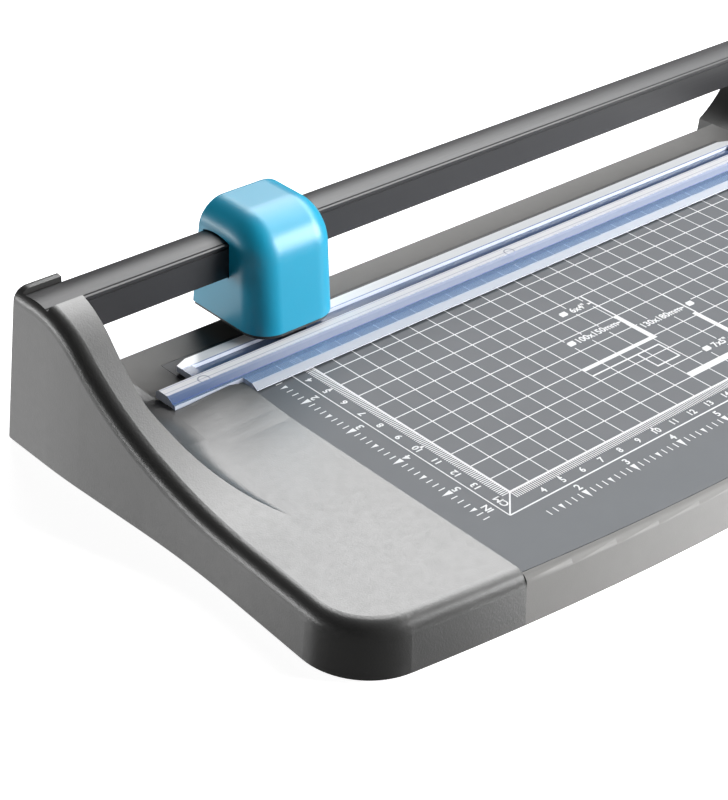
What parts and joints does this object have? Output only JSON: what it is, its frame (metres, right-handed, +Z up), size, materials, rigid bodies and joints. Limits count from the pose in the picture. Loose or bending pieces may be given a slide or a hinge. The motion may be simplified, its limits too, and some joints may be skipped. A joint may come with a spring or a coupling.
{
  "type": "rotary paper trimmer",
  "caption": "Desk rotary paper trimmer: printed table between two ridged end covers, clear hold-down strip, and a rail with a sliding head that carries a wheel blade.",
  "frame": {"origin": "on the desk, below the middle of the machine's box", "axes": "+X along the rail to the right, +Y to the back, +Z up"},
  "size_m": [0.44, 0.214, 0.0758],
  "materials": {
    "cover_plastic": "fine moulded texture, charcoal",
    "table_plastic": "satin blue-grey with printed grid",
    "tray_plastic": "fine moulded texture, dark grey",
    "rail_black": "black anodised satin",
    "clear_plastic": "clear with a blue tint",
    "head_teal": "teal gloss moulding",
    "black_plastic": "black moulding",
    "white_plastic": "white slippery plastic",
    "mat_plastic": "dark self-healing mat",
    "steel": "bright steel",
    "rubber_black": "matte rubber"
  },
  "bodies": {
    "base": {"base_tray": "tray_plastic", "table_plate": "table_plastic", "left_end_cover": "cover_plastic", "right_end_cover": "cover_plastic", "bottom_plate": "black_plastic", "base_screws": "steel", "rubber_feet": "rubber_black", "cutting_mat": "mat_plastic", "guide_rail": "rail_black", "left_rail_block": "black_plastic", "right_rail_block": "black_plastic", "rail_screws": "steel", "strip_springs": "steel"},
    "hold_down": {"clear_strip": "clear_plastic", "strip_washers": "black_plastic"},
    "cutting_head": {"head_shell": "head_teal", "head_sole": "black_plastic", "head_screws": "steel", "head_slider": "black_plastic", "front_glide": "white_plastic", "under_glide": "white_plastic", "blade_spring": "steel"},
    "carrier": {"blade_carrier": "black_plastic", "blade_axle": "steel", "axle_clip": "steel"},
    "blade": {"rotary_blade": "steel", "blade_hub": "black_plastic", "hub_washer": "black_plastic"}
  },
  "joints": [
    {"name": "head_slide", "type": "slide", "parent": "base", "child": "cutting_head", "axis": [1, 0, 0], "range_m": [-0.0394, 0.2626]},
    {"name": "strip_press", "type": "slide", "parent": "base", "child": "hold_down", "axis": [0, 0, 1], "range_m": [-0.0008, 0], "stiffness_N_per_m": 1500, "springref_m": 0.001, "deforming": ["strip_springs"]},
    {"name": "blade_float", "type": "slide", "parent": "cutting_head", "child": "carrier", "axis": [0, 0, 1], "range_m": [0, 0.0015], "stiffness_N_per_m": 1500, "springref_m": -0.002, "deforming": ["blade_spring"]},
    {"name": "blade_spin", "type": "hinge", "parent": "carrier", "child": "blade", "pos_m": [-0.1116, 0.0805, 0.0363], "axis": [0, 1, 0], "continuous": true}
  ]
}
